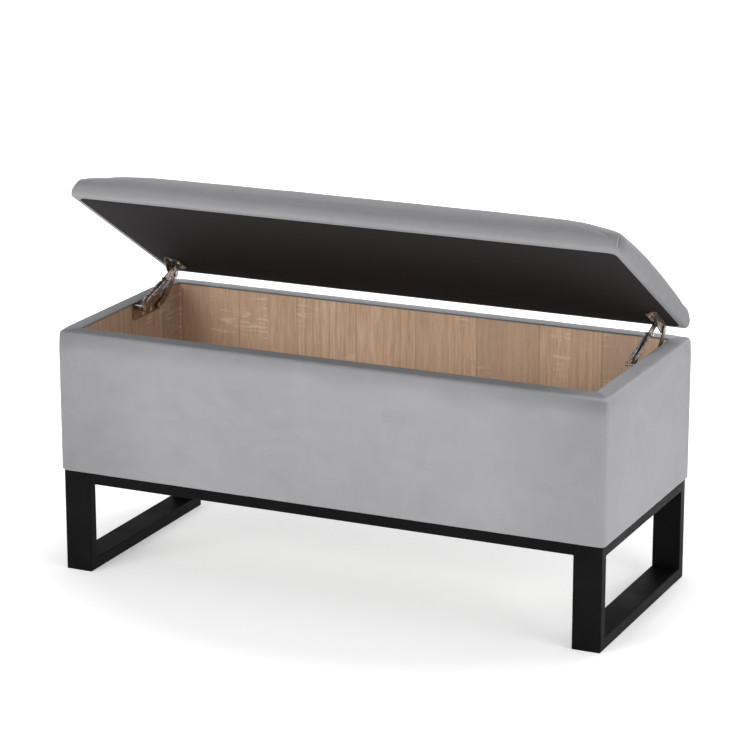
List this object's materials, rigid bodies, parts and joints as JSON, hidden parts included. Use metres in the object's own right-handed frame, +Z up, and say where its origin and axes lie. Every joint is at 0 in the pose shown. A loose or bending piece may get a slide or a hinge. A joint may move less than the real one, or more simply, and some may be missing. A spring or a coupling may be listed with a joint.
{
  "type": "storage bench",
  "caption": "Upholstered storage bench: an open velvet-covered box on a welded steel base, with a padded lid that lifts on spring-assisted arm hinges.",
  "frame": {"origin": "on the floor, under the middle of the storage box", "axes": "+X to the right along the bench, +Y to the rear where the lid is hinged, +Z up"},
  "size_m": [1, 0.4258, 0.6944],
  "materials": {
    "black_steel": "matte",
    "oak_board": "satin",
    "plain_board": "matte",
    "velvet": "matte",
    "foam": "matte",
    "dust_cloth": "matte",
    "hinge_steel": "satin",
    "spring_steel": "satin",
    "screw_steel": "satin"
  },
  "bodies": {
    "box": {"bottom_board": "oak_board", "carcass_screws": "screw_steel", "frame_screws": "screw_steel", "front_board": "oak_board", "front_cover": "velvet", "front_padding": "foam", "front_rail": "black_steel", "left_board": "oak_board", "left_cover": "velvet", "left_floor_tube": "black_steel", "left_front_arm_pivot": "hinge_steel", "left_front_leg": "black_steel", "left_padding": "foam", "left_rear_arm_pivot": "hinge_steel", "left_rear_leg": "black_steel", "left_spring_stud": "hinge_steel", "left_top_tube": "black_steel", "left_wall_plate": "hinge_steel", "left_wall_screws": "screw_steel", "rear_board": "oak_board", "rear_cover": "velvet", "rear_padding": "foam", "rear_rail": "black_steel", "right_board": "oak_board", "right_cover": "velvet", "right_floor_tube": "black_steel", "right_front_arm_pivot": "hinge_steel", "right_front_leg": "black_steel", "right_padding": "foam", "right_rear_arm_pivot": "hinge_steel", "right_rear_leg": "black_steel", "right_spring_stud": "hinge_steel", "right_top_tube": "black_steel", "right_wall_plate": "hinge_steel", "right_wall_screws": "screw_steel"},
    "left_front_arm": {"left_front_arm": "hinge_steel", "left_spring_pin": "hinge_steel", "left_springs": "spring_steel"},
    "left_rear_arm": {"left_rear_arm": "hinge_steel", "left_rear_lid_pin": "hinge_steel"},
    "right_front_arm": {"right_front_arm": "hinge_steel", "right_spring_pin": "hinge_steel", "right_springs": "spring_steel"},
    "right_rear_arm": {"right_rear_arm": "hinge_steel", "right_rear_lid_pin": "hinge_steel"},
    "lid": {"left_bracket_screws": "screw_steel", "left_front_lid_pin": "hinge_steel", "left_lid_bracket": "hinge_steel", "lid_board": "plain_board", "lid_cover": "velvet", "lid_dust_cover": "dust_cloth", "lid_foam": "foam", "right_bracket_screws": "screw_steel", "right_front_lid_pin": "hinge_steel", "right_lid_bracket": "hinge_steel"}
  },
  "joints": [
    {"name": "lid_lift", "type": "hinge", "parent": "box", "child": "left_front_arm", "pos_m": [-0.457, 0.022, 0.419], "axis": [1, 0, 0], "range_deg": [-21.2, 0], "deforming": ["left_springs"]},
    {"name": "lid_pivot", "type": "hinge", "parent": "left_front_arm", "child": "lid", "pos_m": [-0.457, 0.1366, 0.46506], "axis": [1, 0, 0], "range_deg": [0, 52.21]},
    {"name": "right_front_arm_swing", "type": "hinge", "parent": "box", "child": "right_front_arm", "pos_m": [0.457, 0.022, 0.419], "axis": [1, 0, 0], "range_deg": [-21.21, 0], "deforming": ["right_springs"]},
    {"name": "left_rear_arm_swing", "type": "hinge", "parent": "box", "child": "left_rear_arm", "pos_m": [-0.4665, 0.0917, 0.407], "axis": [1, 0, 0], "range_deg": [-27.49, 0]},
    {"name": "right_rear_arm_swing", "type": "hinge", "parent": "box", "child": "right_rear_arm", "pos_m": [0.4665, 0.0917, 0.407], "axis": [1, 0, 0], "range_deg": [-27.49, 0]}
  ],
  "couplings": [
    {"joint": "lid_pivot", "follows": "lid_lift", "ratio": -2.4623},
    {"joint": "right_front_arm_swing", "follows": "lid_lift", "ratio": 1},
    {"joint": "left_rear_arm_swing", "follows": "lid_lift", "ratio": 1.2962},
    {"joint": "right_rear_arm_swing", "follows": "lid_lift", "ratio": 1.2962}
  ]
}
